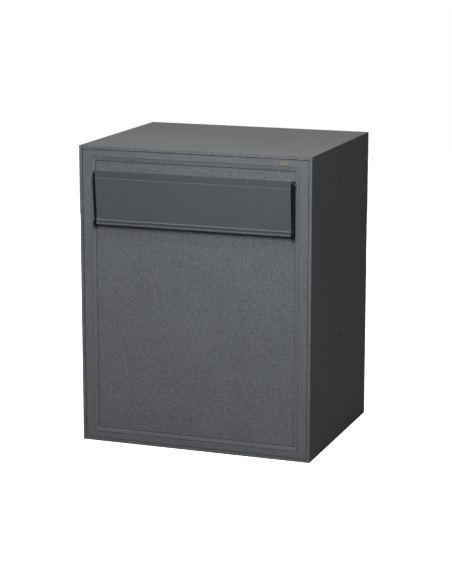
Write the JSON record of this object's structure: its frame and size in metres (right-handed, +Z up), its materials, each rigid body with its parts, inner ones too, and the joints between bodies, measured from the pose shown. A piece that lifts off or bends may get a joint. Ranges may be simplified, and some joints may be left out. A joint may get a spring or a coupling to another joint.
{
  "type": "parcel drop box",
  "caption": "Upright sheet steel parcel box with a top-hinged letter flap in a sunk front field, an anti-fishing baffle and chute inside, and a locking rear door.",
  "frame": {"origin": "middle of the casing's footprint, on its underside", "axes": "+X to the right seen from the front, +Y from the front flap to the rear door, +Z up"},
  "size_m": [0.4, 0.3598, 0.5],
  "materials": {
    "anthracite": "fine textured powder coat, anthracite",
    "flap_coat": "smooth satin powder coat, dark grey",
    "black_plastic": "moulded black plastic",
    "zinc": "zinc plated steel",
    "steel": "bright drawn steel",
    "chrome": "nickel plated brass",
    "rubber": "black rubber",
    "badge": "brushed plain plate"
  },
  "bodies": {
    "casing": {"casing_wrap": "anthracite", "rear_jamb": "anthracite", "fixing_plates": "black_plastic", "front_panel": "anthracite", "panel_rails": "zinc", "panel_screws": "zinc", "slot_collar": "anthracite", "slot_gasket": "rubber", "blank_badge": "badge", "flap_ears": "black_plastic", "flap_spring_left": "steel", "flap_spring_right": "steel", "flap_bumpers": "rubber", "baffle_brackets": "zinc", "baffle_rod": "steel", "baffle_clips": "steel", "drop_chute": "anthracite", "chute_screws": "zinc", "floor_mat": "rubber", "door_seal": "rubber", "hinge_case_leaves": "zinc", "hinge_pins": "steel"},
    "flap": {"flap_plate": "flap_coat", "cheek_left": "black_plastic", "cheek_right": "black_plastic", "flap_pin_left": "steel", "flap_pin_right": "steel"},
    "baffle": {"baffle_plate": "anthracite"},
    "rear_door": {"door_leaf": "anthracite", "door_stiffener": "anthracite", "hinge_door_leaves": "zinc", "hinge_rivets": "zinc", "lock_barrel": "chrome", "lock_nut": "zinc"},
    "lock_core": {"lock_plug": "chrome", "lock_cam": "zinc", "cam_screw": "zinc", "key": "chrome"}
  },
  "joints": [
    {"name": "flap_hinge", "type": "hinge", "parent": "casing", "child": "flap", "pos_m": [0, -0.1629, 0.455], "axis": [-1, 0, 0], "range_deg": [0, 75], "stiffness_Nm_per_rad": 0.15, "springref_deg": -20.05},
    {"name": "baffle_hinge", "type": "hinge", "parent": "casing", "child": "baffle", "pos_m": [0, -0.1226, 0.467], "axis": [1, 0, 0], "range_deg": [0, 65]},
    {"name": "rear_door_hinge", "type": "hinge", "parent": "casing", "child": "rear_door", "pos_m": [-0.1905, 0.1642, 0.25], "axis": [0, 0, 1], "range_deg": [0, 110]},
    {"name": "lock_turn", "type": "hinge", "parent": "rear_door", "child": "lock_core", "pos_m": [0.163, 0.16, 0.25], "axis": [0, -1, 0], "range_deg": [0, 90]}
  ]
}
